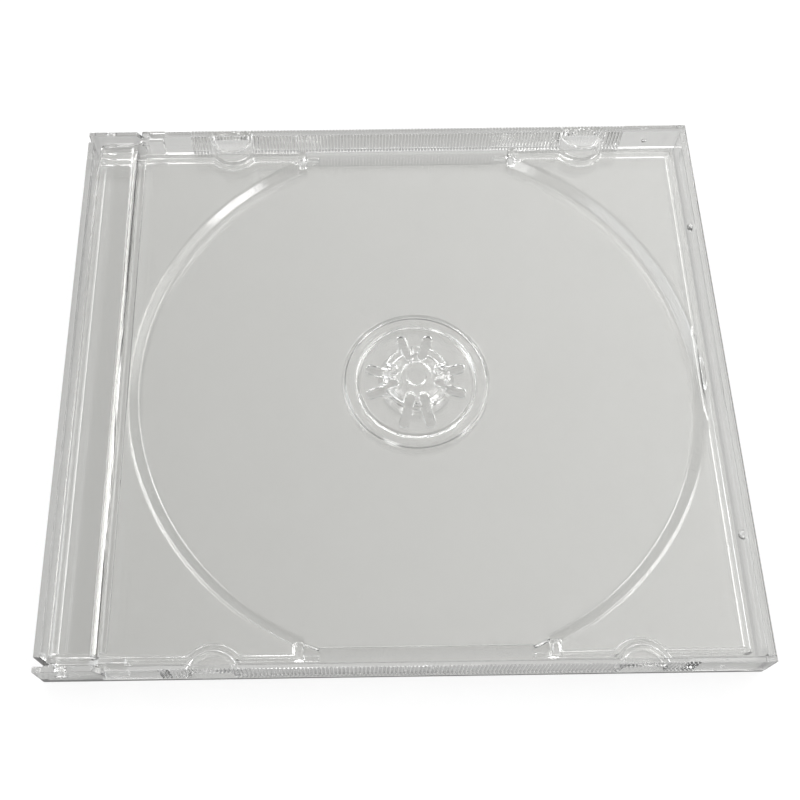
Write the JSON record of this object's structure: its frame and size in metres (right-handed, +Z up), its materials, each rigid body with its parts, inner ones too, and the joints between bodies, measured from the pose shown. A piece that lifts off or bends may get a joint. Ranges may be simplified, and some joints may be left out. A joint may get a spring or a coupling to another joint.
{
  "type": "cd case",
  "caption": "Flat clear plastic disc case with a hinged lid, grip-ribbed side walls, half-moon booklet tabs and a clear tray with a toothed hub.",
  "frame": {"origin": "centre of the closed case's footprint, on the table", "axes": "+X from the spine to the opening edge, +Y along the spine, +Z up through the lid"},
  "size_m": [0.142, 0.125, 0.0102],
  "materials": {
    "base_plastic": "clear polished moulding",
    "lid_plastic": "clear polished moulding with fine wear",
    "tray_plastic": "clear polished moulding"
  },
  "bodies": {
    "base": {"case_base": "base_plastic", "disc_tray": "tray_plastic"},
    "lid": {"hinged_lid": "lid_plastic"}
  },
  "joints": [
    {"name": "lid_hinge", "type": "hinge", "parent": "base", "child": "lid", "pos_m": [-0.0664, 0, 0.0051], "axis": [0, -1, 0], "range_deg": [0, 180]}
  ]
}
